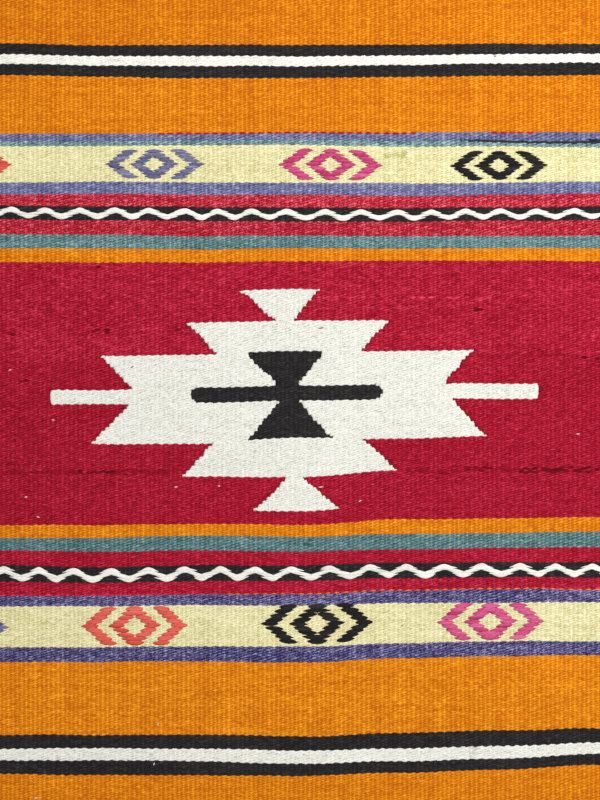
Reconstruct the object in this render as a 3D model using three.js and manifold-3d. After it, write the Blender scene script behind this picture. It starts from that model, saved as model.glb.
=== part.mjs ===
// A cut length of kilim, a weft-faced flat-woven wool cloth, lying flat. Millimetres, +Z up.
// X runs across the cloth along its weft stripes, and Y runs along its warp. The origin is
// at the middle of the underside.
//
// The wefts are beaten down until they hide the warps, so each warp shows as a rib that runs
// the whole length. At each side the wefts turn round a thicker outer warp and make a round
// selvedge, and both ends are cut. Two rows of a zigzag and two rows of an eye figure are
// brocaded: their wool floats over the ribs, so it stands proud of them. The cloth is woven
// in one piece, so it is one solid.

import * as THREE from "three";
import { mergeVertices } from "three/addons/utils/BufferGeometryUtils.js";
import Module from "manifold-3d";

const wasm = await Module();
wasm.setup();

// Driving sizes of the cloth
const WARPS = 144; // ribs from side to side, with the two selvedge warps
const WARP_PITCH = 2.7; // 37 warps in 100 mm
const LENGTH = 510;
const WIDTH = WARPS * WARP_PITCH;
const THICKNESS = 2.8; // one warp between two layers of weft, over the crown of a rib
const RIB_DEPTH = 0.5; // from a rib's crown to the groove beside it
const FLOAT_RISE = 0.5; // the brocaded wool above the crowns

// A rib's outline, as shares of the pitch and of the rib's depth
const RIB_OUTLINE = [
  { across: 0.0, up: 0.0 },
  { across: 0.3, up: 1.0 },
  { across: 0.7, up: 1.0 },
];

// The selvedges wander a little along the cloth, and the cut ends a little across it
const SELVEDGE_STEPS = 12;
const SELVEDGE_CURVE = 6; // half the sides of a selvedge's round section
const SELVEDGE_SINK = 0.9; // how far a selvedge reaches into the ribs beside it
const SELVEDGE_WANDER = { by: 0.8, waves: 1.2, shift: 0.7 };
const CUT_WANDER = { by: 0.7, waves: 1.5 };
const AT_THE_CUT = 1; // points this near an end belong to it

// Brocaded zigzags. Their weaver counted the warps by eye, so the crests stand at uneven
// places. The stations are places across the cloth, and a row's drift is how far the weft
// rises or falls there.
const ZIGZAG = { swing: 2.2, stroke: 3.4, stepsPerSlope: 2 };
const BROCADE_INSET = 3.2; // brocade stops this far inside a selvedge's mean line
const STATIONS = [-220, -115, -55, 5, 65, 125, 220];
const ZIGZAG_ROWS = [
  {
    y: 111.6,
    drift: [0.3, 0.3, -0.3, -0.3, -0.6, -0.3, 0.0],
    crests: [
      -211.8, -190.8, -169.8, -149.4, -129, -107.4, -87, -65.4, -45.6, -25.8, -4.8, 19.2, 40.2,
      62.4, 82.8, 103.2, 124.2, 145.8, 168, 189, 210,
    ],
  },
  {
    y: -104.4,
    drift: [-0.6, -0.9, 0.0, -0.6, 0.6, 1.5, 1.8],
    crests: [
      -217.2, -195.6, -174, -153, -132, -109.8, -87.6, -65.4, -44.4, -22.8, -0.6, 22.8, 45, 66.6,
      89.4, 111.6, 133.2, 156, 177, 199.2,
    ],
  },
];

// Brocaded eye figures: a ring between two chevrons. Sizes are half widths, measured from the
// middle of the figure: along its middle row, and along its top and bottom rows.
const EYE = {
  ring: { middle: 15.6, end: 4.8 },
  hole: { middle: 5.9, endShare: 0.5 },
  chevronOut: { middle: 30.3, end: 21.2 },
  chevronIn: { middle: 21.0, end: 12.0 },
};
const EYES = [
  { x: -200.2, y: 140.9, halfHeight: 9.6 },
  { x: -83.4, y: 140.7, halfHeight: 9.6 },
  { x: 21.9, y: 141.3, halfHeight: 9.6 },
  { x: 122.7, y: 140.7, halfHeight: 9.6 },
  { x: -201.2, y: -136.3, halfHeight: 12.0 },
  { x: -95.4, y: -135.0, halfHeight: 12.0 },
  { x: 13.8, y: -134.4, halfHeight: 12.0 },
  { x: 117.6, y: -132.6, halfHeight: 12.0 },
];

// A closed three.js geometry as a solid that can be joined
function solidOf(geometry) {
  const bare = geometry.clone();
  bare.deleteAttribute("normal");
  bare.deleteAttribute("uv");
  const merged = mergeVertices(bare, 1e-3);
  return new wasm.Manifold(
    new wasm.Mesh({
      numProp: 3,
      vertProperties: merged.attributes.position.array,
      triVerts: new Uint32Array(merged.index.array),
    }),
  );
}

function geometryOf(solid) {
  const { vertProperties, triVerts } = solid.getMesh();
  const geometry = new THREE.BufferGeometry();
  geometry.setAttribute("position", new THREE.BufferAttribute(vertProperties, 3));
  geometry.setIndex(new THREE.BufferAttribute(triVerts, 1));
  geometry.computeVertexNormals();
  return geometry;
}

// How far a cut end strays from straight at a place across the cloth
function cutWander(x, end) {
  return CUT_WANDER.by * Math.sin((x / WIDTH) * 2 * Math.PI * CUT_WANDER.waves + end);
}

// How far a selvedge strays from straight at a place along the cloth
function selvedgeWander(y, side) {
  const turn = (y / LENGTH) * 2 * Math.PI * SELVEDGE_WANDER.waves;
  return SELVEDGE_WANDER.by * Math.sin(turn + side * SELVEDGE_WANDER.shift);
}

// Moves the points of both ends so that the cuts aren't quite straight
function uncutStraight(geometry) {
  const place = geometry.attributes.position;
  for (let i = 0; i < place.count; i += 1) {
    const end = Math.sign(place.getY(i));
    if (Math.abs(place.getY(i)) > LENGTH / 2 - AT_THE_CUT) {
      place.setY(i, (end * LENGTH) / 2 + cutWander(place.getX(i), end));
    }
  }
  return geometry;
}

// The ribbed cloth between the selvedges: one section across all the ribs, drawn along Y
function ribbedCloth() {
  const first = 1;
  const last = WARPS - 1;
  const left = -WIDTH / 2;
  const grooveHeight = THICKNESS - RIB_DEPTH;
  const section = new THREE.Shape();
  section.moveTo(left + last * WARP_PITCH, 0);
  section.lineTo(left + last * WARP_PITCH, grooveHeight);
  for (let warp = last - 1; warp >= first; warp -= 1) {
    for (const point of [...RIB_OUTLINE].reverse()) {
      section.lineTo(
        left + (warp + point.across) * WARP_PITCH,
        grooveHeight + point.up * RIB_DEPTH,
      );
    }
  }
  section.lineTo(left + first * WARP_PITCH, 0);
  const cloth = new THREE.ExtrudeGeometry(section, { depth: LENGTH, bevelEnabled: false });
  cloth.rotateX(Math.PI / 2);
  cloth.translate(0, LENGTH / 2, 0);
  return uncutStraight(cloth);
}

// One selvedge: a round edge whose line wanders, flat below where it lies on the floor
function selvedge(side) {
  const halfWide = (WARP_PITCH + SELVEDGE_SINK) / 2;
  const halfHigh = THICKNESS / 2;
  const section = new THREE.Shape();
  section.absellipse(0, 0, halfHigh, halfWide, 0, 2 * Math.PI);
  const middle = side * (WIDTH / 2 - halfWide);
  const line = [];
  for (let i = 0; i <= SELVEDGE_STEPS; i += 1) {
    const y = (i / SELVEDGE_STEPS - 0.5) * LENGTH;
    line.push(new THREE.Vector3(middle + selvedgeWander(y, side), y, halfHigh));
  }
  const edge = new THREE.ExtrudeGeometry(section, {
    extrudePath: new THREE.CatmullRomCurve3(line),
    steps: SELVEDGE_STEPS,
    curveSegments: SELVEDGE_CURVE,
  });
  return uncutStraight(edge);
}

// A brocaded shape, from inside the cloth to the top of its wool
function raised(outline) {
  const bottom = THICKNESS / 2;
  const top = THICKNESS + FLOAT_RISE;
  const shape = new THREE.ExtrudeGeometry(outline, { depth: top - bottom, bevelEnabled: false });
  shape.translate(0, 0, bottom);
  return shape;
}

function driftAt(row, x) {
  const next = Math.max(1, STATIONS.findIndex((station) => station >= x));
  const [from, to] = [STATIONS[next - 1], STATIONS[next]];
  const share = (x - from) / (to - from);
  return row.drift[next - 1] * (1 - share) + row.drift[next] * share;
}

// A wave from crest to crest, with a few points on each slope
function zigzag(row) {
  const steps = 2 * ZIGZAG.stepsPerSlope;
  const upper = [];
  const lower = [];
  for (let i = 0; i < (row.crests.length - 1) * steps; i += 1) {
    const from = row.crests[Math.floor(i / steps)];
    const to = row.crests[Math.floor(i / steps) + 1];
    const share = (i % steps) / steps;
    const x = from + (to - from) * share;
    const y = row.y + driftAt(row, x) + ZIGZAG.swing * Math.cos(share * 2 * Math.PI);
    upper.push(new THREE.Vector2(x, y + ZIGZAG.stroke / 2));
    lower.push(new THREE.Vector2(x, y - ZIGZAG.stroke / 2));
  }
  return raised(new THREE.Shape([...lower, ...upper.reverse()]));
}

function ring(eye) {
  const { x, y, halfHeight: high } = eye;
  const { middle, end } = EYE.ring;
  const outline = new THREE.Shape();
  outline.moveTo(x - middle, y);
  outline.lineTo(x - end, y - high);
  outline.lineTo(x + end, y - high);
  outline.lineTo(x + middle, y);
  outline.lineTo(x + end, y + high);
  outline.lineTo(x - end, y + high);
  const hole = new THREE.Path();
  hole.moveTo(x - EYE.hole.middle, y);
  hole.lineTo(x, y + high * EYE.hole.endShare);
  hole.lineTo(x + EYE.hole.middle, y);
  hole.lineTo(x, y - high * EYE.hole.endShare);
  outline.holes.push(hole);
  return raised(outline);
}

function chevron(eye, side) {
  const { x, y, halfHeight: high } = eye;
  const { chevronOut: out, chevronIn: inside } = EYE;
  const outline = new THREE.Shape();
  outline.moveTo(x + side * out.middle, y);
  outline.lineTo(x + side * out.end, y + high);
  outline.lineTo(x + side * inside.end, y + high);
  outline.lineTo(x + side * inside.middle, y);
  outline.lineTo(x + side * inside.end, y - high);
  outline.lineTo(x + side * out.end, y - high);
  return raised(outline);
}

// The space in which brocade may lie, so that a figure that meets a selvedge ends there
function brocadeField() {
  const high = 2 * (THICKNESS + FLOAT_RISE) + 1;
  return new THREE.BoxGeometry(WIDTH - 2 * BROCADE_INSET, LENGTH, high);
}

function kilimCloth() {
  const field = solidOf(brocadeField());
  const floats = [
    ...ZIGZAG_ROWS.map(zigzag),
    ...EYES.flatMap((eye) => [ring(eye), chevron(eye, -1), chevron(eye, 1)]),
  ];
  let cloth = solidOf(ribbedCloth());
  cloth = cloth.add(solidOf(selvedge(-1)));
  cloth = cloth.add(solidOf(selvedge(1)));
  for (const float of floats) {
    cloth = cloth.add(solidOf(float).intersect(field));
  }
  return geometryOf(cloth);
}

// Puts the middle of the solid's box over the origin, with the underside at height 0
function centred(geometry) {
  geometry.computeBoundingBox();
  const { min, max } = geometry.boundingBox;
  geometry.translate(-(min.x + max.x) / 2, -(min.y + max.y) / 2, -min.z);
  return geometry;
}

const wool = new THREE.MeshStandardMaterial({ color: 0xe58a1e, roughness: 0.95, metalness: 0 });
const cloth = new THREE.Mesh(centred(kilimCloth()), wool);
cloth.name = "kilim_cloth";

const kilim = new THREE.Group();
kilim.add(cloth);

export default kilim;
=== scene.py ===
# %% [markdown]
# # A length of kilim, woven in code
#
# A kilim is a flat-woven wool cloth. Strong warps run along it, and coloured wefts cross
# them and are beaten down so hard that they hide the warps. One could paint such a cloth on
# a plane, but its stripes would then have straight edges, and the real ones are scalloped,
# because each bit of weft that shows is a small bead of yarn over one warp. So this script
# weaves: a chart says which yarn crosses which warp at which pick, and each bead that shows
# becomes a small piece of mesh in that yarn.

# %% The packed model, and the tools
import math

import bmesh
import bpy
import numpy as np
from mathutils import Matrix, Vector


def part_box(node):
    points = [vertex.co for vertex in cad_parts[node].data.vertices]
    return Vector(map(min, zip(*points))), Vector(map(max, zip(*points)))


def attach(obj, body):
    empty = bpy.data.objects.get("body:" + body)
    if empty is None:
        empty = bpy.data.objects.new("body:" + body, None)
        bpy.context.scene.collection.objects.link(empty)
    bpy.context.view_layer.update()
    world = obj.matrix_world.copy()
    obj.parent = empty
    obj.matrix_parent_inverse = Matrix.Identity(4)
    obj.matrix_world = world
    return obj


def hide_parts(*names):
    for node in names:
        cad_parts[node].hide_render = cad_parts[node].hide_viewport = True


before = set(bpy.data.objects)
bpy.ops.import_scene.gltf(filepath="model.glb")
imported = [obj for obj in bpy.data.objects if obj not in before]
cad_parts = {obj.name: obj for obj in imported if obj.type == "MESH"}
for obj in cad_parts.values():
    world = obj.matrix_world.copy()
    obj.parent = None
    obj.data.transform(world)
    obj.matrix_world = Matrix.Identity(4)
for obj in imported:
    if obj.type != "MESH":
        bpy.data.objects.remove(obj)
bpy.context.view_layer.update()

CLOTH = "kilim_cloth"
LOW, HIGH = (np.array(corner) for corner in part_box(CLOTH))
print("the woven solid reaches from", LOW.round(4), "to", HIGH.round(4), "metres")

# %% [markdown]
# ## The loom
#
# All sizes follow from the loom: 144 warps, 2.7 mm apart, and 708 picks of weft over
# 510 mm. A place on the cloth is given in the weaver's own terms, as warps from the left
# selvedge and picks from the far end, and is turned into metres by one function. That keeps
# the chart, the yarn and the brocade in step, however much the cloth wanders.

# %% Sizes of the loom
MM = 0.001
WARPS = 144
PICKS = 708
WARP_PITCH = 2.7 * MM
LENGTH = 510 * MM
PICK_PITCH = LENGTH / PICKS
MIDDLE_WARP = WARPS / 2
CROWN = 2.8 * MM  # height of a rib's crown over the floor
RNG = np.random.default_rng(7)  # seeded, so that every run weaves the same cloth

# %% [markdown]
# ## The camera
#
# The photograph looks straight down on cloth that fills it. At 0.6 mm a pixel it shows 360
# by 480 mm, and the medallion's middle is a little left of the picture's. A long lens from
# two metres keeps the edges as square as they are there.

# %% The camera over the cloth
PIXEL = 0.6 * MM
PICTURE = {"wide": 600, "high": 800, "medallion_x": 294}
CAMERA_HEIGHT = 2.0
SENSOR = 36.0


def from_picture(x, y):
    """A pixel of the photograph as metres on the cloth."""
    return (x - PICTURE["medallion_x"]) * PIXEL, (PICTURE["high"] / 2 - y) * PIXEL


def add_object(name, data):
    """Puts a camera, a mesh or a lamp into the scene."""
    thing = bpy.data.objects.new(name, data)
    bpy.context.scene.collection.objects.link(thing)
    return thing


def add_camera():
    lens = bpy.data.cameras.new("picture")
    lens.sensor_width = SENSOR
    lens.lens = SENSOR * (CAMERA_HEIGHT - CROWN) / (PICTURE["high"] * PIXEL)
    camera = add_object("picture", lens)
    across, along = from_picture(PICTURE["wide"] / 2, PICTURE["high"] / 2)
    camera.location = (across, along, CAMERA_HEIGHT)
    bpy.context.scene.camera = camera
    return camera


camera = add_camera()
print(f"the lens is {camera.data.lens:.0f} mm long")

# %% [markdown]
# ## How the cloth wanders
#
# No hand-woven line is straight. The weaver beats one side harder than the other, so the
# weft lines tilt and sag, and each pick is thicker here and thinner there. The large tilt is
# a table of how far a pick lies above its place, at seven warps. A program that measured the
# stripes' edges in the photograph printed most of its rows, and those over the medallion
# were typed by hand. The small unevenness is noise: random heights on a coarse grid, with
# smooth ground between them.

# %% A smooth random field over the cloth
def field(cells_across, cells_along, seed):
    """A function of (warp, pick) whose values wander around 0, mostly between -1 and 1."""
    shape = (cells_across + 2, cells_along + 2)
    heights = np.random.default_rng(seed).normal(0, 0.5, shape)

    def at(warp, pick):
        across = np.clip(np.asarray(warp, float) / WARPS, 0, 1) * cells_across
        along = np.clip(np.asarray(pick, float) / PICKS, 0, 1) * cells_along
        i, j = across.astype(int), along.astype(int)
        s, t = across - i, along - j
        s, t = s * s * (3 - 2 * s), t * t * (3 - 2 * t)
        near = heights[i, j] * (1 - s) + heights[i + 1, j] * s
        far = heights[i, j + 1] * (1 - s) + heights[i + 1, j + 1] * s
        return near * (1 - t) + far * t

    return at


weft_sway = field(16, 40, 1)
weft_thickness = field(26, 240, 2)
warp_sway = field(70, 9, 3)
print("the warps sway like", warp_sway(MIDDLE_WARP, np.arange(0, PICKS, 177)).round(2))

# %% The lift of the weft lines, in tenths of a millimetre
LIFT_WARPS = [6.7, 28.9, 51.1, 73.3, 95.6, 117.8, 140.0]
LIFTS = [
    # pick, then the lift at each of those warps
    (0, 0, 0, 0, 0, 0, 0, 0),
    (58, 5, -7, -3, -7, -4, 1, 2),
    (71, 3, -7, -8, -10, -3, 8, 9),
    (85, 9, -2, -10, -10, -3, 3, 10),
    (132, -5, -5, 1, 6, 3, 7, 4),
    (142, -8, -5, -2, 0, -12, -11, -17),
    (173, -3, 3, -1, -6, -7, -5, 4),
    (183, -3, 2, -4, -3, -11, -4, 5),
    (193, 6, 0, -5, -7, -12, -7, -3),
    (205, 9, 4, -4, -6, -7, 1, 1),
    (217, 4, 2, -8, -3, -9, -5, -5),
    (239, -5, -5, -6, 1, 3, 5, 0),
    (263, -6, -8, -13, 8, 9, 13, 12),
    (289, -12, -8, -8, 4, 6, 20, 27),
    (315, -28, -20, -12, 1, 11, 19, 26),
    (343, -29, -22, -6, 4, 12, 15, 22),
    (355, -30, -20, -10, 0, 10, 10, 20),
    (387, -40, -30, -29, -7, 0, 19, 29),
    (418, -18, -13, -9, -12, 29, 32, 38),
    (445, -8, -7, -9, -17, 22, 34, 43),
    (458, -2, -3, 4, -4, 30, 35, 46),
    (469, -4, -2, 13, 5, 21, 25, 37),
    (480, 1, -5, 0, -6, 7, 14, 21),
    (493, 6, -5, 7, 5, 22, 23, 22),
    (505, -7, -15, -2, -3, 14, 22, 20),
    (515, -12, -14, -2, -5, 18, 31, 25),
    (526, -4, -3, 5, 1, 14, 19, 24),
    (560, -3, -3, 2, 0, 21, 32, 32),
    (572, -7, -4, -2, -9, 17, 28, 38),
    (634, 3, 4, 7, -6, 16, 30, 43),
    (645, -1, 4, 0, -13, 0, 15, 35),
    (655, 4, 2, -3, -21, -4, 12, 41),
    (666, 0, -7, -8, -12, 6, 27, 54),
    (708, 0, 0, 0, 0, 0, 0, 0),
]
print("the largest lift is", max(max(row[1:]) for row in LIFTS), "tenths")


# %% The lift at any place
def lift(warp, pick):
    """How far the weft lies above its place, from the table, in metres."""
    rows = np.array(LIFTS)
    warp, pick = np.broadcast_arrays(warp, pick)
    stations = np.array([np.interp(pick, rows[:, 0], column) for column in rows.T[1:]])
    spot = np.interp(warp, LIFT_WARPS, range(len(LIFT_WARPS)))
    first = np.minimum(spot.astype(int), len(LIFT_WARPS) - 2)
    share = spot - first
    share = share * share * (3 - 2 * share)
    left = np.take_along_axis(stations, first[None], 0)[0]
    right = np.take_along_axis(stations, first[None] + 1, 0)[0]
    return (left * (1 - share) + right * share) * 0.1 * MM


print(f"the middle of pick 387 is lifted by {float(lift(MIDDLE_WARP, 387)) / MM:.1f} mm")

# %% A place on the cloth in metres
SWAY = {"warps": 0.45 * MM, "wefts": 0.3 * MM, "thickness": 0.2 * MM}
CALM_PICKS, CALM_WARPS = 24, 4  # how far from an end or a selvedge the unevenness sets in


def calm(pick):
    """1 in the cloth, falling to 0 at its cut ends, which stay where the solid's are."""
    return np.clip(np.minimum(pick, PICKS - np.asarray(pick)) / CALM_PICKS, 0, 1)


def on_cloth(warp, pick):
    """A place in warps and picks as x and y in metres."""
    warp, pick = np.asarray(warp, float), np.asarray(pick, float)
    inside = np.clip(np.minimum(warp, WARPS - warp) / CALM_WARPS, 0, 1)
    x = (warp - MIDDLE_WARP) * WARP_PITCH + SWAY["warps"] * warp_sway(warp, pick) * inside
    uneven = SWAY["wefts"] * weft_sway(warp, pick)
    uneven = uneven + SWAY["thickness"] * weft_thickness(warp, pick)
    y = LENGTH / 2 - pick * PICK_PITCH + lift(warp, pick) + uneven * calm(pick)
    return x, y


print("the middle of pick 343 lies at", [round(float(v), 4) for v in on_cloth(72, 343)])

# %% [markdown]
# ## The chart
#
# A weaver works from a list of stripes, so the ground is a table of bands: the yarn, the
# number of picks and how pale the band is made. The far part of the red field is made paler
# than its near part, and the far white stripe paler than the near one. The narrow red stripes
# of the far band are of a brighter, streakier lot than the field, called scarlet here. The
# medallion is tapestry: its yarns turn back at their edges, a warp further every few picks,
# which makes the stepped diagonals. Each of its tiers is a trapezoid, given by its picks, by
# where its sides begin and end, in warps from the middle, and by how far its tips reach past
# that, or stay short of it where the number is negative. These numbers were given one by
# one, after the medallion's sides had been measured in the photograph.

# %% The bands, from the far end to the near one
YARNS = (
    "orange", "red", "scarlet", "white", "black", "blue", "violet", "teal", "cream", "rust"
)
BANDS = [
    # yarn, picks, pallor
    ("orange", 58, -0.4),
    ("black", 9, 0.0),
    ("white", 8, 1.2),
    ("black", 10, 0.0),
    ("orange", 47, -0.15),
    ("blue", 6, 0.0),
    ("teal", 4, 0.9),
    ("cream", 31, -0.1),
    ("blue", 10, 0.1),
    ("scarlet", 10, 0.1),
    ("black", 12, 0.0),
    ("scarlet", 12, -0.2),
    ("teal", 11, 0.1),
    ("orange", 11, 0.1),
    # the far part of the red field is made paler than its near part
    ("red", 80, 0.35),
    ("red", 139, -0.1),
    ("orange", 11, 0.0),
    ("teal", 11, -0.3),
    ("red", 13, 0.15),
    ("black", 12, 0.0),
    ("red", 10, 0.3),
    ("violet", 11, 0.1),
    ("cream", 34, 0.0),
    ("violet", 12, -0.05),
    ("orange", 62, 0.25),
    ("black", 11, 0.0),
    ("white", 10, 0.4),
    ("black", 11, 0.0),
    ("orange", 42, -0.1),
]
chart = np.zeros((WARPS, PICKS), int)
pallor = np.zeros((WARPS, PICKS))


def lay_bands():
    pick = 0
    for yarn, picks, pale in BANDS:
        chart[:, pick : pick + picks] = YARNS.index(yarn)
        pallor[:, pick : pick + picks] = pale
        pick += picks
    return pick


print("the bands take", lay_bands(), "picks of", PICKS)

# %% The medallion's tiers
TIERS = [
    # yarn, picks from, to, left side from, to, right side from, to, reach of the tips
    ("white", 263, 290, -11.9, -3.8, 5.1, 0.1, 0.5),
    ("white", 289, 315, -23.7, -17.3, 21.2, 14.9, 0.4),
    ("white", 315, 343, -42.9, -35.8, 39.6, 33.4, 0.5),
    ("white", 343, 355, -54.4, -54.4, 54.4, 54.4, -0.5),
    ("white", 355, 387, -36.4, -44.9, 35.0, 42.4, 0.6),
    ("white", 387, 417, -18.1, -24.9, 15.2, 22.9, 0.3),
    ("white", 417, 445, -1.2, -8.8, 1.8, 10.1, 0.4),
    ("black", 314, 340, -10.9, -4.1, 6.8, 1.3, -0.6),
    ("black", 340, 343, -4.1, -4.1, 1.3, 1.3, 0.0),
    ("black", 343, 355, -22.9, -22.9, 19.6, 19.6, -1.3),
    ("black", 355, 385, -3.1, -9.9, 1.0, 8.0, 0.5),
]
MEDALLION = slice(263, 446)  # its picks, and the one after them
print(len(TIERS), "tiers")

# %% Lay the tiers
KNOT = 5  # picks between two bends of a side
BEND = 0.35  # warps that a bend strays at most
FADE = {"upright": 1.2, "slanted": 1.5}  # picks over which a tip's reach fades
slope = np.zeros((WARPS + 1, PICKS))  # how far a groove is drawn aside where two yarns turn


def side_of_tier(top, bottom, start, end, tip):
    """The place of one side at each pick, in warps, straight but for the weaver's hand."""
    picks = np.arange(top, bottom)
    bends = RNG.uniform(-BEND, BEND, (bottom - top) // KNOT + 2) * (start != end)
    bends[0] = 0
    share = (picks - top + 0.5) / (bottom - top)
    wander = np.interp((picks - top) / KNOT, range(len(bends)), bends)
    outward = np.sign(start)
    from_top, from_bottom = picks - top, bottom - 1 - picks
    if start == end:
        wander = outward * tip * np.exp(-np.minimum(from_top, from_bottom) / FADE["upright"])
    else:
        from_tip = from_top if abs(start) > abs(end) else from_bottom
        wander += outward * tip * np.exp(-from_tip / FADE["slanted"])
    return MIDDLE_WARP + start + (end - start) * share + wander


def lay_tier(yarn, top, bottom, left_top, left_bottom, right_top, right_bottom, tip):
    """Fills one trapezoid of the chart. Its sides step from warp to warp."""
    lefts = side_of_tier(top, bottom, left_top, left_bottom, tip)
    rights = side_of_tier(top, bottom, right_top, right_bottom, tip)
    for pick, left, right in zip(range(top, bottom), lefts, rights):
        first, last = round(left), round(right)
        chart[first:last, pick] = YARNS.index(yarn)
        pallor[first:last, pick] = 0
        slope[first, pick] = left - first
        slope[last, pick] = right - last


for tier in TIERS:
    lay_tier(*tier)
print("its white takes", int((chart[:, MEDALLION] == YARNS.index("white")).sum()), "places")

# %% [markdown]
# A few odd picks lie where one yarn takes over from the next: red ones under the second
# orange stripe, and a pale red and a rust one over the near violet stripe. None runs from
# side to side, so they aren't in the table of bands.

# %% Odd picks
ODD_PICKS = [
    # yarn, pick, from warp, to warp, pallor
    ("red", 132, 42, 99, 0.0),
    ("red", 132, 116, 126, 0.8),
    ("red", 515, 0, 56, 2.0),
    ("rust", 515, 56, 86, 0.0),
    ("rust", 515, 86, 144, 0.6),
]
for yarn, pick, first_warp, last_warp, pale in ODD_PICKS:
    chart[first_warp:last_warp, pick] = YARNS.index(yarn)
    pallor[first_warp:last_warp, pick] = pale
print(len(ODD_PICKS), "odd picks laid")

# %% [markdown]
# ## The shade of each bead
#
# Hand-dyed wool is never even. A pick keeps its own shade for a while, a run of picks from
# one skein differs from the next, and single beads catch the light. All of that is worked
# out here as one number for each bead, so the finish has little left to do. The cloth has
# some short marks too, soiled runs and a few pale ones, which not every bead takes up.

# %% How uneven each yarn is
SKEIN = 0.18  # how far skeins, and clouds in the dye, differ in shade
SINGLE = 0.35  # how far single beads do
RUN = 8  # warps over which a pick keeps its shade
UNEVEN = {
    # yarn: how far its shade changes from rib to rib, and from pick to pick
    "orange": (0.5, 0.32),
    "cream": (0.35, 0.35),
    "blue": (0.4, 0.2),
    "teal": (0.25, 0.2),
    "violet": (0.4, 0.25),
}
EVEN = (0.15, 0.18)
shade_skein = field(5, 70, 4)
shade_cloud = field(12, 16, 5)
shade_rib = field(120, 9, 6)
print("uneven yarns:", ", ".join(UNEVEN))

# %% Soiled and pale runs
MARKS = [
    # picture x from, to, y, how dark, picks tall
    (0, 16, 334, 2.8, 1.4), (90, 99, 331, 3.8, 1.4), (103, 109, 331, 3.4, 1.4),
    (92, 101, 268, 4.6, 1.6), (19, 29, 380, 2.4, 1.4), (172, 181, 328, 2.6, 1.4),
    (495, 503, 273, 4.0, 1.4), (473, 484, 309, 3.4, 1.4), (583, 600, 358, 3.0, 1.4),
    (305, 314, 543, 3.0, 2.5), (0, 78, 472, 1.0, 2), (78, 116, 472, 3.2, 1.3),
    (116, 168, 472, 1.2, 2), (0, 63, 463, 0.7, 2), (405, 460, 471, 1.0, 2),
    (460, 490, 469, 2.4, 1.6), (490, 520, 470, 1.2, 2), (517, 600, 470, 4.2, 2.4),
    (317, 345, 298, -1.5, 1), (350, 375, 297, -1.2, 1), (408, 416, 298, -2.6, 1),
    (419, 424, 297, -2.8, 1), (428, 432, 297, -2.4, 1), (446, 464, 298, -2.4, 1),
    (476, 492, 299, -1.6, 1), (550, 558, 372, -2.0, 1), (386, 404, 155, 2.2, 2.5),
    (546, 552, 90, -2.5, 2), (562, 568, 33, -2.0, 2), (462, 478, 753, 1.6, 5),
]
TAKEN_UP = (0.1, 0.8, 1.4)  # how strongly one bead or another takes a mark
print(len(MARKS), "marks")


# %% Shade of the beads
def bead_shades():
    warp, pick = np.meshgrid(np.arange(WARPS) + 0.5, np.arange(PICKS) + 0.0, indexing="ij")
    of_pick = np.repeat(RNG.normal(0, 1, (WARPS // RUN, PICKS)), RUN, axis=0)
    ease = (np.arange(WARPS) % RUN / RUN)[:, None]
    of_pick = of_pick * (1 - ease) + np.roll(of_pick, -RUN, 0) * ease
    shades = pallor + SKEIN * shade_skein(warp, pick) + SKEIN * shade_cloud(warp, pick)
    rib, run = np.array([UNEVEN.get(yarn, EVEN) for yarn in YARNS])[chart].transpose(2, 0, 1)
    shades += rib * shade_rib(warp, pick) + run * of_pick
    shades += SINGLE * (1 + pallor.clip(0, 1)) * RNG.normal(0, 1, (WARPS, PICKS))
    x, y = on_cloth(warp, pick)
    for x_from, x_to, row, dark, tall in MARKS:
        (left, level), (right, _) = from_picture(x_from, row), from_picture(x_to, row)
        hit = (x > left) & (x < right) & (abs(y - level) < tall * PICK_PITCH)
        shades[hit] -= dark * RNG.choice(TAKEN_UP, int(hit.sum()))
    return shades


shades = bead_shades()
print("beads by shade:", np.percentile(shades, (1, 50, 99)).round(2))

# %% [markdown]
# Where two yarns of the medallion turn back beside each other, a slit stays open between
# them. Its shadow shows most on the red beads beside it, so those are darker.

# %% Shadow along the slits
SLIT_SHADOW = 0.8
slit = np.zeros((WARPS + 1, PICKS), bool)
slit[1:WARPS, MEDALLION] = (chart[1:] != chart[:-1])[:, MEDALLION]
beside = (slit[1:] | slit[:-1]) & (chart == YARNS.index("red"))
shades[beside] -= SLIT_SHADOW
print(int(beside.sum()), "places beside a slit are in its shadow")

# %% [markdown]
# ## Wool
#
# One recipe serves every yarn. The bead's shade picks a colour between the yarn's deep and
# pale ones, painted shade makes the grooves and the gaps between picks darker than the
# crowns, and stretched noise gives the fibres. The sums are written as Python expressions:
# a small class wraps a socket, and each operator adds the Math node that it stands for.

# %% Sums with sockets
class Wire:
    """A node's output. Sums with it add Math nodes."""

    def __init__(self, recipe, socket):
        self.recipe, self.socket = recipe, socket

    def sum(self, operation, left, right):
        return self.recipe.node("Math", {"operation": operation}, {0: left, 1: right})

    def __add__(self, other):
        return self.sum("ADD", self, other)

    def __radd__(self, other):
        return self.sum("ADD", other, self)

    def __sub__(self, other):
        return self.sum("SUBTRACT", self, other)

    def __rsub__(self, other):
        return self.sum("SUBTRACT", other, self)

    def __mul__(self, other):
        return self.sum("MULTIPLY", self, other)

    def __rmul__(self, other):
        return self.sum("MULTIPLY", other, self)


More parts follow.
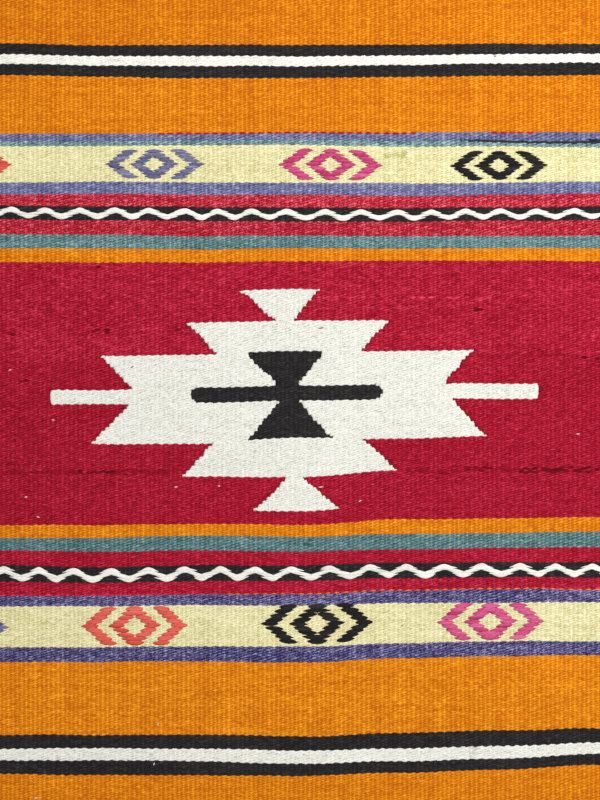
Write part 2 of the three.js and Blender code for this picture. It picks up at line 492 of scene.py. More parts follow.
# %% A recipe of nodes
class Recipe:
    """A material's nodes, made one at a time."""

    def __init__(self, name):
        self.material = bpy.data.materials.new(name)
        self.material.use_nodes = True
        self.tree = self.material.node_tree
        self.shader = self.tree.nodes["Principled BSDF"]

    def node(self, kind, settings=None, sockets=None, output=0):
        new = self.tree.nodes.new("ShaderNode" + kind)
        for name, value in (settings or {}).items():
            if name == "stops":
                self.stops(new.color_ramp, value)
            else:
                setattr(new, name, value)
        for name, value in (sockets or {}).items():
            self.plug(new.inputs[name], value)
        return Wire(self, new.outputs[output])

    def plug(self, socket, value):
        if isinstance(value, Wire):
            self.tree.links.new(value.socket, socket)
        else:
            socket.default_value = value

    def stops(self, ramp, stops):
        while len(ramp.elements) < len(stops):
            ramp.elements.new(0.5)
        for element, (place, colour) in zip(ramp.elements, stops):
            element.position = place
            element.color = (*colour, 1)

    def finish(self, **sockets):
        for name, value in sockets.items():
            self.plug(self.shader.inputs[name.replace("_", " ")], value)
        return self.material


print("recipes can", ", ".join(step for step in vars(Recipe) if step[0] != "_"))

# %% The dyes
def linear(red, green, blue):
    """A colour as a screen shows it, from 0 to 255, as the light that Blender works with."""
    shares = (value / 255 for value in (red, green, blue))
    return tuple(s / 12.92 if s < 0.04045 else ((s + 0.055) / 1.055) ** 2.4 for s in shares)


DYES = {
    # yarn: deep, middle and pale. From orange to cream, but for scarlet, a program fitted them
    # to mean colours in the photograph. The others were given one by one.
    "orange": ((166, 79, 2), (202, 121, 10), (235, 155, 36)),
    "red": ((86, 1, 15), (147, 8, 34), (205, 59, 87)),
    "scarlet": ((110, 2, 20), (166, 28, 46), (226, 112, 126)),
    "white": ((132, 134, 122), (205, 204, 195), (230, 230, 224)),
    "black": ((8, 7, 7), (27, 24, 25), (74, 70, 70)),
    "blue": ((35, 33, 81), (98, 99, 134), (173, 177, 200)),
    "violet": ((26, 21, 66), (83, 77, 115), (163, 157, 193)),
    "teal": ((34, 67, 73), (89, 117, 118), (157, 183, 182)),
    "cream": ((155, 147, 83), (207, 200, 155), (235, 230, 197)),
    "coral": ((138, 28, 26), (187, 66, 55), (213, 104, 93)),
    "rust": ((150, 50, 18), (200, 92, 42), (232, 132, 78)),
    "pink": ((112, 14, 56), (171, 50, 97), (208, 108, 150)),
    "lilac": ((48, 46, 88), (87, 86, 119), (146, 146, 170)),
    "undyed": ((150, 140, 112), (206, 198, 174), (236, 230, 212)),
}
print(len(DYES), "dyes")

# %% The texture of each yarn
TEXTURE = {
    # yarn: how far its shade, the painted shade in grooves and gaps, the strands and the fibres
    # change it
    "orange": (0.19, 0.5, 0.3, 0.5, 1.2),
    "red": (0.13, 0.18, 0.36, 0.6, 1.0),
    "scarlet": (0.2, 0.25, 0.4, 0.9, 1.7),
    "white": (0.1, 0.08, 0.26, 0.25, 1.3),
    "black": (0.1, 0.12, 0.16, 0.25, 0.4),
    "blue": (0.16, 0.28, 0.28, 0.6, 0.7),
    "violet": (0.2, 0.22, 0.66, 1.2, 1.5),
    "teal": (0.15, 0.3, 0.4, 0.5, 1.2),
    "cream": (0.13, 0.26, 0.22, 0.4, 1.2),
}
PLAIN_TEXTURE = (0.15, 0.3, 0.45, 0.5, 0.7)
STRAND_GRAIN = (3.2, 0.6)  # length and breadth of the noise for strands, in millimetres
FIBRE_GRAIN = (0.9, 0.4)  # and for single fibres
print("of their own texture:", ", ".join(TEXTURE))

# %% One recipe for every wool
EVEN_LEVEL = 0.62  # where a bead of no special shade lies between deep and pale
SLANT = 0.25  # how far the fibres turn from the weft's line, in radians


def wool(yarn):
    """Matt wool whose fibres run across the cloth, rising a little to the right."""
    recipe = Recipe(yarn + "_wool")
    deep, middle, pale = DYES[yarn]
    by_shade, groove_shade, gap_shade, by_strand, by_fibre = TEXTURE.get(yarn, PLAIN_TEXTURE)
    spot = recipe.node("TexCoord", output="Object")

    def attribute(name):
        return recipe.node("Attribute", {"attribute_name": name}, output="Fac")

    def grain(along, across):
        """Noise drawn out along the yarn, from 0 to 1."""
        scale = (along * MM, across * MM, across * MM)
        laid = recipe.node(
            "Mapping",
            {"vector_type": "TEXTURE"},
            {"Vector": spot, "Rotation": (0, 0, SLANT), "Scale": scale},
        )
        return recipe.node("TexNoise", {}, {"Vector": laid, "Scale": 1.0, "Detail": 2.0})

    valley, gap = attribute("valley"), attribute("gap")
    strands, fibres = grain(*STRAND_GRAIN), grain(*FIBRE_GRAIN)
    level = EVEN_LEVEL + by_shade * attribute("shade")
    # painted shade: the grooves and the gaps between picks are made darker
    level = level - groove_shade * valley * valley - gap_shade * gap * gap
    level = level + by_strand * (strands - 0.5) + by_fibre * (fibres - 0.5)
    stops = [(0.0, linear(*deep)), (0.5, linear(*middle)), (1.0, linear(*pale))]
    colour = recipe.node("ValToRGB", {"stops": stops}, {"Fac": level})
    raised = recipe.node(
        "Bump", {}, {"Height": fibres + strands, "Strength": 0.4, "Distance": 0.12 * MM}
    )
    return recipe.finish(
        Base_Color=colour,
        Roughness=0.88 + 0.08 * gap,
        Normal=raised,
        Specular_IOR_Level=0.12,
        Sheen_Weight=0.03,
        Sheen_Roughness=0.5,
    )


wools = {yarn: wool(yarn) for yarn in DYES}
print("wools:", ", ".join(wools))

# %% [markdown]
# ## Mesh from arrays
#
# The cloth has tens of thousands of beads, so meshes are filled from NumPy arrays in one go
# and not point by point. Each face carries its shade and each point how far it lies in a
# groove or a gap, which the wool recipe paints darker as shade.


def add_piece(name, points, faces, materials, shade, valley, gap, slots=None, bake_map=None):
    """A smooth mesh of triangles or quads, riding on the part's only body."""
    faces = np.asarray(faces)
    corners = faces.shape[1]
    mesh = bpy.data.meshes.new(name)
    mesh.vertices.add(len(points))
    mesh.vertices.foreach_set("co", np.asarray(points, np.float32).ravel())
    mesh.loops.add(faces.size)
    mesh.loops.foreach_set("vertex_index", faces.ravel().astype(np.int32))
    mesh.polygons.add(len(faces))
    mesh.polygons.foreach_set("loop_start", np.arange(0, faces.size, corners, dtype=np.int32))
    mesh.polygons.foreach_set("use_smooth", np.ones(len(faces), bool))
    if slots is not None:
        mesh.polygons.foreach_set("material_index", np.asarray(slots, np.int32))
    for material in materials:
        mesh.materials.append(material)
    for label, kind, values in (
        ("shade", "FACE", shade),
        ("valley", "POINT", valley),
        ("gap", "POINT", gap),
    ):
        layer = mesh.attributes.new(label, "FLOAT", kind)
        layer.data.foreach_set("value", np.asarray(values, np.float32))
    if bake_map is not None:
        layer = mesh.uv_layers.new(name="OFBake")
        layer.uv.foreach_set("vector", np.asarray(bake_map, np.float32).ravel())
    mesh.update(calc_edges=True)
    piece = add_object(name, mesh)
    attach(piece, "root")
    return piece


def tell(piece):
    print(f"{piece.name}: {len(piece.data.polygons)} faces")


# %% [markdown]
# ## The beads of the face
#
# In weft-faced cloth a pick passes over every second warp, so warp 0 shows the even picks
# and warp 1 the odd ones. A bead is two picks tall on the crown of its rib and narrows into
# the grooves, where its neighbours fill the room: the beads tile the face as leaning
# hexagons. Each has its crown in the middle, a saddle above and below, where the next pick
# of the rib lies against it, and one on each side, where the twist of the yarn runs on into
# the bead a pick higher on the right. That run is the fine diagonal line seen in plain
# parts. Points are numbered by what they are and where, so beads of one yarn share them.
# Where one stripe ends and the next begins, the beads that meet are drawn in a little,
# because tightly beaten wefts give a seam that is more even than whole beads would.

# %% Points of a bead
CORNER = 0.28  # how far from the groove a hexagon's corner lies, in warps
SADDLE_DEPTH = 0.14 * MM
GROOVE_DEPTH = 0.42 * MM
CORNER_DEPTH = 0.58 * MM
SLIT_DEPTH = 0.35 * MM
SLIT_DRAW = 0.6  # how far a slit follows the slope of its tier's side
SEAM = 0.22  # picks that a bead is drawn in where two stripes meet, which evens the scallops
ASTRAY = 0.045 * MM  # how far a point strays in height; aside it strays twice as far
KINDS = {
    # kind: across from the bead's groove, along from its pick, depth, painted shade as valley
    # and gap
    "crown": (0.5, 0.0, 0.0, 0.0, 0.0),
    "saddle": (0.5, -1.0, SADDLE_DEPTH, 0.0, 1.0),
    "side": (1.0, -0.5, GROOVE_DEPTH, 1.0, 0.0),
    "upper": (1 - CORNER, -1.0, CORNER_DEPTH, 1.0, 1.0),
    "outer": (1 + CORNER, 0.0, CORNER_DEPTH, 1.0, 1.0),
}
RIM = [
    # kind, warp, pick: the point of that kind that belongs to the bead that far away
    ("outer", -1, -1),
    ("saddle", 0, 0),
    ("upper", 0, 0),
    ("side", 0, 0),
    ("outer", 0, 0),
    ("upper", 0, 2),
    ("saddle", 0, 2),
    ("outer", -1, 1),
    ("side", -1, 1),
    ("upper", -1, 1),
]
PAD = 4  # rows before the first pick and after the last, for the rims of the end beads
ROWS = PICKS + 2 * PAD
print("a bead has a crown and", len(RIM), "points round it")


# %% Numbers of the points, and the seams
def point_number(kind, warp, pick):
    return (list(KINDS).index(kind) * WARPS + warp) * ROWS + pick + PAD


def seam(warp, pick):
    """How far the top of this bead is drawn up or down, in picks, if another yarn ends there."""
    rib = np.minimum(warp, WARPS - 1)
    here, before, above = (chart[rib, np.clip(pick - b, 0, PICKS - 1)] for b in (0, 1, 2))
    return np.where(here != above, np.where(here != before, SEAM, -SEAM), 0)


print("the last crown has number", point_number("crown", WARPS - 1, PICKS - 1))


# %% Places of the points
def all_points():
    """Places of every point that a bead could use, and the painted shade it takes between the
    beads.
    """
    warp, row = np.meshgrid(np.arange(WARPS), np.arange(ROWS) - PAD, indexing="ij")
    here, before = (np.clip(row - back, 0, PICKS - 1) for back in (0, 1))
    turned = slit[warp + 1, here] | slit[warp + 1, before]
    drawn = np.where(slit[warp + 1, here], slope[warp + 1, here], slope[warp + 1, before])
    over = seam(warp, row)
    drawn_in = {"saddle": over, "upper": over, "outer": seam(warp + 1, row + 1)}
    places, valleys, gaps, weave = [], [], [], []
    for kind, (across, along, depth, valley, gap) in KINDS.items():
        at_slit = turned & (across > 0.5)  # the crown and the saddle keep their places
        shift = np.where(at_slit, 1 - across + SLIT_DRAW * drawn, 0)
        level = row + along + drawn_in.get(kind, 0)
        x, y = on_cloth(warp + across + shift, np.clip(level, 0, PICKS))
        astray = RNG.normal(0, ASTRAY, (3, *warp.shape))
        z = CROWN - depth - SLIT_DEPTH * at_slit
        place = np.stack([x, y, z], -1) + np.moveaxis(astray, 0, -1) * (2.0, 2.0, 1.0)
        places.append(place.reshape(-1, 3))
        valleys.append(valley * RNG.uniform(0.7, 1.2, warp.size))
        # points at a slit take the full painted shade of a gap, a painted shadow in the slit
        gaps.append(np.maximum(gap * RNG.uniform(0.5, 1.3, warp.shape), at_slit).reshape(-1))
        weave.append(np.stack([warp + across, row + along], -1).reshape(-1, 2))
    return [np.concatenate(group) for group in (places, valleys, gaps, weave)]


places, valleys, gaps, weave = all_points()
print(len(places), "places for points")


# %% [markdown]
# One piece for each yarn keeps every mesh to a size that Blender handles with ease. Each
# gets its own flat map for baking. A yarn fills only a few bands, so the map leaves out the
# picks between them and gives the whole picture to the wool.

# %% Weave the face, one yarn at a time
def rows_used(picks):
    """For each pick, its row in a map without the picks that this yarn skips."""
    used = np.unique(picks)
    jumps = np.concatenate([[0], np.cumsum(np.maximum(np.diff(used) - PAD, 0))])
    return dict(zip(used, used - used[0] - jumps)), used[-1] - used[0] - jumps[-1]


def weave_yarn(yarn):
    warp, pick = np.nonzero(chart == YARNS.index(yarn))
    shown = ((warp + pick) % 2 == 0) & (warp > 0) & (warp < WARPS - 1)
    warp, pick = warp[shown], pick[shown]
    middle = point_number("crown", warp, pick)
    rim = np.stack([point_number(k, warp + w, pick + p) for k, w, p in RIM], 1)
    fan = [np.stack([middle, np.roll(rim, -1, 1)[:, i], rim[:, i]], 1) for i in range(len(RIM))]
    faces = np.stack(fan, 1).reshape(-1, 3)
    numbers, inverse = np.unique(faces, return_inverse=True)
    rows, tall = rows_used(pick)
    shift = np.array([rows[p] for p in pick]) - pick
    across = weave[faces, 0] / WARPS
    along = (weave[faces, 1] + np.repeat(shift, len(RIM))[:, None] + PAD) / (tall + 2 * PAD)
    return add_piece(
        yarn + "_wefts",
        places[numbers],
        inverse.reshape(-1, 3),
        [wools[yarn]],
        np.repeat(shades[warp, pick], len(RIM)),
        valleys[numbers],
        gaps[numbers],
        bake_map=np.stack([across, 1 - along], -1),
    )


for yarn in YARNS:
    tell(weave_yarn(yarn))

# %% [markdown]
# ## The ground of the cloth
#
# Under the face lie the warps and the other half of each pick, which shows on the
# underside. Nobody looks there closely, so the ground is one plain closed sheet: ribbed
# below, in the same yarns, and flat on top, where the beads cover it. Its sides and its top
# are made with bmesh, which takes faces with any number of corners.

# %% The ribbed underside and the body of the cloth
GROUND_TOP = 1.6 * MM
UNDER_GROOVE = 0.42 * MM
UNDER_STRAY = 0.04 * MM  # how far the underside's crowns lie off the floor at most
UNDER_STEP = 4  # picks to one row of faces
GROUND_EDGE = 0.6  # warps from a selvedge to where the ground ends, inside the cord


def underside():
    """Points, faces, yarns, shades and painted groove shade of the ribbed underside, and its
    rim.
    """
    across = np.concatenate(
        [[GROUND_EDGE], np.arange(1, WARPS - 1, 0.5), [WARPS - 1, WARPS - GROUND_EDGE]]
    )
    along = np.arange(0, PICKS + 1, UNDER_STEP)
    warp, pick = np.meshgrid(across, along, indexing="ij")
    x, y = on_cloth(warp, pick)
    on_groove = warp % 1 == 0
    depth = np.where(on_groove, UNDER_GROOVE, UNDER_STRAY * RNG.uniform(0, 1, warp.shape))
    under = np.stack([x, y, depth], -1).reshape(-1, 3)
    wide, tall = warp.shape
    number = np.arange(wide * tall).reshape(wide, tall)
    quads = np.stack(
        [number[:-1, :-1], number[:-1, 1:], number[1:, 1:], number[1:, :-1]], -1
    ).reshape(-1, 4)
    cells_warp = np.clip(across[:-1].astype(int), 0, WARPS - 1)
    cells_pick = along[:-1] + 1
    yarn = chart[np.ix_(cells_warp, cells_pick)].reshape(-1)
    shade = shades[np.ix_(cells_warp, cells_pick)].reshape(-1)
    # painted shade, darker in the underside's grooves
    hollow = on_groove.reshape(-1) * 1.0
    rim = np.concatenate(
        [number[:, 0], number[-1, 1:], number[-2::-1, -1], number[0, -2:0:-1]]
    )
    return under, quads, yarn, shade, hollow, rim


# %% Sides and top of the ground
def add_ground():
    """Adds the sides and the flat top to the underside, as one closed mesh."""
    under, quads, yarn, shade, hollow, rim = underside()
    piece = add_piece(
        CLOTH + "_ground",
        under,
        quads,
        [wools[y] for y in YARNS],
        shade,
        # painted shade in the grooves, as valley and a little as gap
        hollow,
        0.3 * hollow,
        slots=yarn,
    )
    shell = bmesh.new()
    shell.from_mesh(piece.data)
    shell.verts.ensure_lookup_table()
    low = [shell.verts[i] for i in rim]
    high = [shell.verts.new((v.co.x, v.co.y, GROUND_TOP)) for v in low]
    for i in range(len(rim)):
        j = (i + 1) % len(rim)
        side = shell.faces.new((low[j], low[i], high[i], high[j]))
        side.material_index = YARNS.index("cream")
    shell.faces.new(high)
    bmesh.ops.recalc_face_normals(shell, faces=shell.faces)
    shell.to_mesh(piece.data)
    shell.free()
    return piece


ground = add_ground()
tell(ground)

# %% [markdown]
# ## Selvedges
#
# At each side the weft turns round the outermost warp and comes back, and the turns lie
# against each other as a round cord. The cord is a section swept along the edge, fuller in
# the middle of each turn than between two. The section stays open towards the cloth, where
# the beads and the ground cover it.

# %% The two cords
CORD = {
    "edge": 0.66,  # warps from the selvedge to the cord's middle line
    "wide": 2.0 * MM,
    "high": CROWN / 2,
    "sides": 11,
    "open": 0.3,  # radians left open towards the cloth, above and below
    "waist": 0.88,  # size between two turns, as a share of the size within one
    "slant": 0.8,  # picks that a turn leans back above and forward below
    "stray": 0.02,  # share of its size that a turn strays by
}


def add_selvedge(side):
    """side is -1 at the left and 1 at the right."""
    turns = np.linspace(CORD["open"], 2 * math.pi - CORD["open"], CORD["sides"])
    picks = np.arange(0, PICKS + 1)
    pick, turn = np.meshgrid(picks, turns, indexing="ij")
    slanted = np.clip(pick + CORD["slant"] * (turn / math.pi - 1), 0, PICKS)
    edge = CORD["edge"] if side < 0 else WARPS - CORD["edge"]
    x, y = on_cloth(np.full(pick.shape, edge), slanted)
    full = np.where(pick % 2 == 0, CORD["waist"], 1.0)
    full = full * (1 + RNG.normal(0, CORD["stray"], pick.shape))
    x = x - side * np.cos(turn) * CORD["wide"] * full
    z = CROWN / 2 + np.sin(turn) * CORD["high"] * full
    points = np.stack([x, y, np.maximum(z, 0)], -1).reshape(-1, 3)
    number = np.arange(pick.size).reshape(pick.shape)
    quads = np.stack(
        [number[:-1, :-1], number[1:, :-1], number[1:, 1:], number[:-1, 1:]], -1
    ).reshape(-1, 4)
    quads = quads if side > 0 else quads[:, ::-1]
    warp = 0 if side < 0 else WARPS - 1
    of_face = np.repeat(np.arange(PICKS), CORD["sides"] - 1)
    return add_piece(
        "selvedge_left" if side < 0 else "selvedge_right",
        points,
        quads,
        [wools[y] for y in YARNS],
        shades[warp, of_face // 2 * 2],
        # painted shade between two turns of the cord
        np.where(pick % 2 == 0, 0.5, 0.0).reshape(-1),
        np.where(pick % 2 == 0, 1.0, 0.0).reshape(-1),
        slots=chart[warp, of_face],
    )


for side in (-1, 1):
    tell(add_selvedge(side))

# %% [markdown]
# ## Yarn that floats
#
# The brocade, the cut warps and the stray threads are single lengths of yarn. Each is a
# swept oval that thins to a tip. One function sweeps any number of them into one mesh, from
# the middle line, the half width and the half height of each.

# %% Sweep lengths of yarn
YARN_SIDES = 8


def places_along(x, y, z):
    """The middle line of a length of yarn. Each of x, y and z is an array or one number."""
    return np.stack(np.broadcast_arrays(x, y, z), 1)


def sweep(line, half_wide, half_high):
    """Points and quads of one length of yarn. line is n places, the others are n sizes."""
    ahead = np.gradient(line[:, :2], axis=0)
    ahead /= np.linalg.norm(ahead, axis=1)[:, None] + 1e-12
    aside = np.stack([-ahead[:, 1], ahead[:, 0], np.zeros(len(line))], 1)
    turn = np.arange(YARN_SIDES) * 2 * math.pi / YARN_SIDES
    ring = (
        line[:, None]
        + aside[:, None] * (np.cos(turn)[None] * half_wide[:, None])[..., None]
        + np.array([0, 0, 1.0]) * (np.sin(turn)[None] * half_high[:, None])[..., None]
    )
    number = np.arange(ring.shape[0] * YARN_SIDES).reshape(-1, YARN_SIDES)
    around = np.roll(number, -1, 1)
    quads = np.stack([number[:-1], around[:-1], around[1:], number[1:]], -1).reshape(-1, 4)
    return ring.reshape(-1, 3), quads


def add_yarns(name, yarn, lengths):
    """lengths are (line, half_wide, half_high, shade)."""
    points, quads, shade, valley, first = [], [], [], [], 0
    for line, half_wide, half_high, tone in lengths:
        ring, faces = sweep(line, half_wide, half_high)
        points.append(ring)
        quads.append(faces + first)
        first += len(ring)
        shade.append(np.full(len(faces), tone))
        # painted shade, darker towards the thin tips of each length
        valley.append(np.repeat(1 - half_wide / half_wide.max(), YARN_SIDES))
    # painted shade on the lower sides of each length, darkening the edges between rows
    low = 1 - 1.3 * np.sin(np.arange(YARN_SIDES) * 2 * math.pi / YARN_SIDES)
    return add_piece(
        name,
        np.concatenate(points),
        np.concatenate(quads)[:, ::-1],
        [wools[yarn]],
        np.concatenate(shade),
        np.concatenate(valley),
        np.tile(np.clip(low, 0, 1), first // YARN_SIDES),
    )


print("a length of yarn has", YARN_SIDES, "sides")

# %% [markdown]
# ## Brocade
#
# The figures and the zigzags are brocade: extra wool that floats over a few warps and dives
# under again. Each strand of a float is a slim leaf with pointed tips. It swells in the
# middle, where nothing holds it down.

# %% One strand of brocade
STRAND = {
    "tip": 0.5,  # warps that a strand reaches past the warps it covers
    "stations": 11,
    "root": 0.35 * MM,  # depth of its ends' middle line under the crowns
    "arch": 0.36 * MM,  # height of its middle over its ends
    "thin": 0.08 * MM,  # half its thickness at the ends
    "high": 0.42 * MM,  # half its height in the middle, over that
}
FIRST_FLOAT, LAST_FLOAT = 1.0, WARPS - 1.0
PLY = 0.22  # how far each strand of a float lies beside its middle, in rows


def add_strand(lengths, warps, picks, half_wide, tone, rise=0.0):
    """Adds one strand along places in warps and picks. rise lifts it over its neighbours."""
    share = np.linspace(0, 1, len(warps))
    swell = np.sin(math.pi * share)
    x, y = on_cloth(warps, picks)
    z = CROWN - STRAND["root"] + (STRAND["arch"] + rise) * swell ** 0.5
    wide = STRAND["thin"] + half_wide * swell ** 0.75
    high = STRAND["thin"] + STRAND["high"] * swell ** 0.6
    lengths.append((places_along(x, y, z), wide, high, tone))


def add_float(lengths, start, end, pick, pitch, full, shade, lean=0.0, bow=0.0):
    """Adds the two strands of a float of doubled wool. lean tilts it, and bow bends its ends."""
    start = max(start - STRAND["tip"], FIRST_FLOAT)
    end = min(end + STRAND["tip"], LAST_FLOAT)
    if end - start < 1:
        return
    share = np.linspace(0, 1, STRAND["stations"])
    tone = shade + RNG.normal(0, 0.5)
    middle = pick + RNG.uniform(-0.2, 0.2)
    for aside in (-PLY, PLY):
        spread = aside * pitch * np.sin(math.pi * share) ** 0.7
        bend = lean * (2 * share - 1) + bow * (2 * share - 1) ** 2
        first, last = start + RNG.uniform(-0.2, 0.2), end + RNG.uniform(-0.2, 0.2)
        wide = full * pitch * PICK_PITCH * RNG.uniform(0.7, 1.15)
        add_strand(lengths, first + (last - first) * share, middle + spread + bend, wide, tone)
        tone += RNG.normal(0, 0.6)


print(f"floats lie between warps {FIRST_FLOAT} and {LAST_FLOAT}")

# %% [markdown]
# ## The eye figures
#
# Each figure is a ring between two chevrons, brocaded on the cream stripes in nine rows.
# Every row floats over three warps, and the next one starts a warp further in or out, so
# all rows follow from their distance to the middle row. A figure that meets the selvedge
# is woven only as far as the cloth goes.

# %% Rows of an eye figure
EYES = [
    # name, yarn, warp, pick, picks to a row, width, shade
    ("eye_far_0", "coral", -2.3, 157.3, 2.9, 0.96, 0.0),
    ("eye_far_1", "lilac", 40.9, 157.2, 2.75, 0.92, -0.3),
    ("eye_far_2", "pink", 80.2, 157.4, 2.8, 0.97, -0.4),
    ("eye_far_3", "black", 117.6, 157.6, 2.7, 0.92, -1.2),
    ("eye_near_0", "lilac", -3.3, 542.8, 3.4, 1.0, -0.3),
    ("eye_near_1", "coral", 36.6, 541.9, 3.5, 0.99, 0.4),
    ("eye_near_2", "black", 77.1, 540.5, 3.55, 1.05, -1.5),
    ("eye_near_3", "pink", 115.7, 541.6, 3.55, 1.0, 0.1),
]
FULLNESS = {"lilac": 0.3, "pink": 0.36, "coral": 0.35, "black": 0.38}  # half a strand, in rows
CHEVRON, RING = (8.5, 11.5), (2.5, 5.5)  # warps from the middle, in the middle row
RING_CAPS = {3: 2.6, 4: 1.6}  # rows that close the ring: half their length in warps
ROW_LEAN, CAP_BOW = 0.55, 0.35  # picks
print(len(EYES), "figures")


# %% Weave the eye figures
def add_eye(name, yarn, warp, pick, pitch, width, shade):
    lengths = []
    look = (pitch, FULLNESS[yarn], shade)
    for row in range(-4, 5):
        step = abs(row)
        here = pick + row * pitch
        for side in (-1, 1):
            lean = -side * np.sign(row) * ROW_LEAN
            for near, far in (CHEVRON, RING) if step < 3 else (CHEVRON,):
                start, end = sorted(warp + side * (w - step) * width for w in (near, far))
                add_float(lengths, start, end, here, *look, lean)
        if step in RING_CAPS:
            reach = RING_CAPS[step] * width
            bow = -np.sign(row) * CAP_BOW
            add_float(lengths, warp - reach, warp + reach, here, *look, 0, bow)
    return add_yarns(name, yarn, lengths)


for eye in EYES:
    tell(add_eye(*eye))

# %% [markdown]
# ## The zigzags
#
# White wool zigzags over the two narrow black stripes, in four rows. The outer rows are
# short floats on each crest and in each trough. The inner ones are longer and bend down
# both slopes, where the row of the crests and the row of the troughs lie side by side. The
# weaver counted warps by eye, so the crests stand at uneven places, each listed by itself.

# %% Rows of a zigzag
ZIGZAGS = [
    # name, pick of the middle line, stretch, picture x of the crests
    ("zigzag_far", 198.7, 1.0, (
        -24, 11, 45, 79, 115, 149, 185, 218, 251, 286, 326, 361, 398, 432, 466, 501, 537, 574,
        609,
    )),
    ("zigzag_near", 498.9, 1.15, (
        -32, 4, 39, 74, 111, 148, 185, 220, 255, 291, 330, 370, 406, 444, 482, 520, 556, 592,
        628,
    )),
]
ZIGZAG_ROWS = [
    # picks from the middle line, reach as a share of a slope, picks that its ends bend
    (3.6, 0.5, 1.3),
    (1.8, 1.0, 2.9),
]
ZIGZAG_STRAND = {
    "apart": 1.0,  # picks between the two strands of a row
    "half_wide": 0.64 * MM,
    "uneven": 0.35,  # warps, and half as many picks, that a strand strays
    "stations": 15,
    "rise": 0.12 * MM,  # how far one strand may lie over the next
}
print("crests:", *(f"{name} {len(crests)}" for name, *_, crests in ZIGZAGS))


# %% Weave the zigzags
def add_zigzag(name, pick, stretch, crests):
    """Each crest or trough is a turn. Its strands run from it towards the turns beside it."""
    lengths = []
    x = np.array(crests, float)
    turns = np.sort(np.concatenate([x, (x[1:] + x[:-1]) / 2]))
    turns = from_picture(turns, 0)[0] / WARP_PITCH + MIDDLE_WARP
    way_up = np.where(np.arange(len(turns)) % 2 == 0, -1, 1)
    for before, turn, after, way in zip(turns, turns[1:], turns[2:], way_up[1:]):
        for away, reach, bend in ZIGZAG_ROWS:
            for aside in (-0.5, 0.5):
                uneven = RNG.uniform(-1, 1, 3) * ZIGZAG_STRAND["uneven"]
                full = reach * (1 - 0.4 * aside * way)
                start = turn - (turn - before) * full + uneven[0]
                end = turn + (after - turn) * full + uneven[1]
                warps = np.linspace(start, end, ZIGZAG_STRAND["stations"])
                warps = warps[(warps > FIRST_FLOAT) & (warps < LAST_FLOAT)]
                if len(warps) < 5:
                    continue
                share = np.where(
                    warps < turn, (turn - warps) / (turn - start), (warps - turn) / (end - turn)
                )
                picks = pick + way * stretch * (away - bend * share ** 1.5)
                picks = picks + aside * stretch * ZIGZAG_STRAND["apart"] + 0.5 * uneven[2]
                wide = ZIGZAG_STRAND["half_wide"] * RNG.uniform(0.85, 1.1)
                rise = RNG.uniform(0, 1) * ZIGZAG_STRAND["rise"]
                add_strand(lengths, warps, picks, wide, RNG.normal(0, 0.7), rise)
    return add_yarns(name, "white", lengths)


for zigzag in ZIGZAGS:
    tell(add_zigzag(*zigzag))

# %% [markdown]
# ## Cut ends
#
# Both ends of this length are plain cuts. The warps, spun hard from undyed wool, stick out
# a little and unevenly between the layers of weft.

# %% The cut warps
def add_cut_warps():
    lengths = []
    for end in (0, PICKS):
        outward = 1 if end == 0 else -1
        for warp in range(WARPS):
            x, y = on_cloth(warp + 0.5, end)
            out = RNG.uniform(0.9, 2.0) * MM
            share = np.linspace(0, 1, 5)
            line = places_along(
                x + RNG.normal(0, 0.25) * MM * share,
                y + outward * (out * share - 2 * MM * (1 - share)),
                1.45 * MM + RNG.normal(0, 0.1) * MM * share,
            )
            half = np.array([0.8, 0.8, 0.8, 0.72, 0.3]) * MM
            lengths.append((line, half, half * 0.85, RNG.normal(0, 0.6)))
    return add_yarns("cut_warps", "undyed", lengths)


tell(add_cut_warps())

# %% [markdown]
# ## Marks of use
#
# A black thread was darned in between the narrow blue and teal stripes at the right and
# ends in a small tuft, and a few specks of lint lie on the cloth. They are lengths of yarn
# too, very thin ones.

# %% The darned thread and the lint
THREAD = {"from": 460, "to": 600, "y": 139.8, "half": 0.66 * MM}
LINT = {
    # yarn: picture x, y, length in pixels, turn in degrees
    "white": [
        (10, 370, 3, 20), (53, 420, 3, 0), (26, 497, 3, 10), (38, 517, 3, -20),
        (176, 487, 3.5, 10), (219, 486, 2.5, 0), (321, 487, 5, 5), (360, 501, 3.5, 30),
        (578, 434, 3.5, 0), (158, 724, 3.5, 80), (154, 764, 3, 70), (36, 798, 4, 0),
    ],
    "red": [(321, 328, 6, 8)],
    "black": [(132, 367, 3, 30), (495, 56, 3, 0)],
}


def add_thread():
    """The thread, which ripples over the ribs, and the tuft at its end."""
    lengths = []
    share = np.linspace(0, 1, 60)
    x, y = from_picture(THREAD["from"] + (THREAD["to"] - THREAD["from"]) * share, THREAD["y"])
    y = y + 0.28 * MM * np.sin(share * 60) * np.sin(share * 17)
    y = y - 1.5 * MM * np.sin(share * math.pi / 1.4)
    z = CROWN - 0.2 * MM + 0.16 * MM * np.sin(share * 110)
    half = np.full(60, THREAD["half"]) * np.clip(share * 12, 0.3, 1)
    lengths.append((places_along(x, y, z), half, half * 0.9, 0.0))
    for _ in range(14):
        across = np.linspace(0, 1, 7)
        start, level = from_picture(RNG.uniform(588, 595), RNG.uniform(138.5, 143.5))
        line = places_along(
            start + across * RNG.uniform(2.5, 5.5) * MM,
            level + RNG.normal(0, 0.4) * MM * across,
            CROWN + 0.25 * MM * np.sin(math.pi * across),
        )
        half = np.array([0.1, 0.3, 0.36, 0.36, 0.34, 0.25, 0.1]) * MM
        lengths.append((line, half, half, RNG.normal(-0.5, 0.4)))
    return add_yarns("darned_thread", "black", lengths)


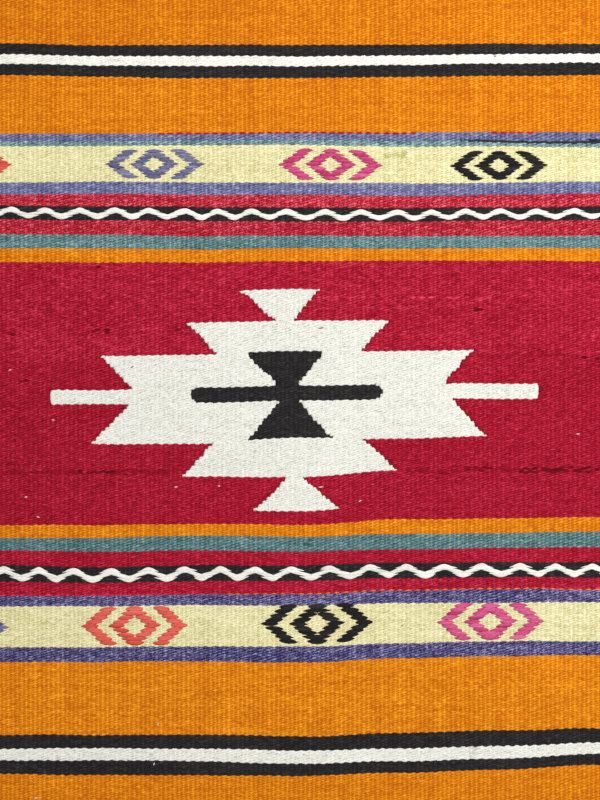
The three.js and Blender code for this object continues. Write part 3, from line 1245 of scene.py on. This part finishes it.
def add_lint(yarn):
    """Every speck of one yarn, as short lengths that taper to both ends."""
    lengths = []
    for x, y, long, turn in LINT[yarn]:
        share = np.linspace(-0.5, 0.5, 5)
        middle, level = from_picture(x, y)
        angle = math.radians(turn)
        line = places_along(
            middle + share * long * PIXEL * math.cos(angle),
            level + share * long * PIXEL * math.sin(angle),
            CROWN + 0.12 * MM,
        )
        half = np.array([0.08, 0.22, 0.3, 0.22, 0.08]) * MM
        lengths.append((line, half, half * 0.8, 0.0))
    return add_yarns("lint_" + yarn, yarn, lengths)


tell(add_thread())
for yarn in LINT:
    tell(add_lint(yarn))

# %% [markdown]
# ## What stands for what
#
# The ground is the sheet of cloth, cut to its flat size, and everything else lies on it.
# Together they stand for the woven solid.

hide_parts(CLOTH)

# %% [markdown]
# ## Floor and light
#
# A plain pale floor, one large soft lamp high on the right beyond the cloth, because the
# photograph is brightest there, and an even sky to fill the grooves.

# %% Floor and light
LAMP = {"place": (0.66, 0.6, 1.34), "size": 0.5, "power": 28.6}
SKY = 0.56


def add_floor():
    mesh = bpy.data.meshes.new("floor")
    far = 3.0
    mesh.from_pydata(
        [(-far, -far, 0), (far, -far, 0), (far, far, 0), (-far, far, 0)], [], [(0, 1, 2, 3)]
    )
    recipe = Recipe("floor_paint")
    mesh.materials.append(recipe.finish(Base_Color=(0.72, 0.71, 0.69, 1), Roughness=0.7))
    add_object("floor", mesh)


def add_lamp():
    light = bpy.data.lights.new("lamp", "AREA")
    light.shape = "DISK"
    light.size = LAMP["size"]
    light.energy = LAMP["power"]
    lamp = add_object("lamp", light)
    lamp.location = LAMP["place"]
    away = -lamp.location.normalized()
    lamp.rotation_euler = away.to_track_quat("-Z", "Y").to_euler()


def set_sky():
    world = bpy.data.worlds.new("sky")
    world.use_nodes = True
    light = world.node_tree.nodes["Background"].inputs
    light["Color"].default_value = (1, 1, 1, 1)
    light["Strength"].default_value = SKY
    bpy.context.scene.world = world


add_floor()
add_lamp()
set_sky()
bpy.context.scene.view_settings.view_transform = "Standard"

# %% [markdown]
# ## The last step
#
# The view layer is brought up to date.

# %% Finish
bpy.context.view_layer.update()
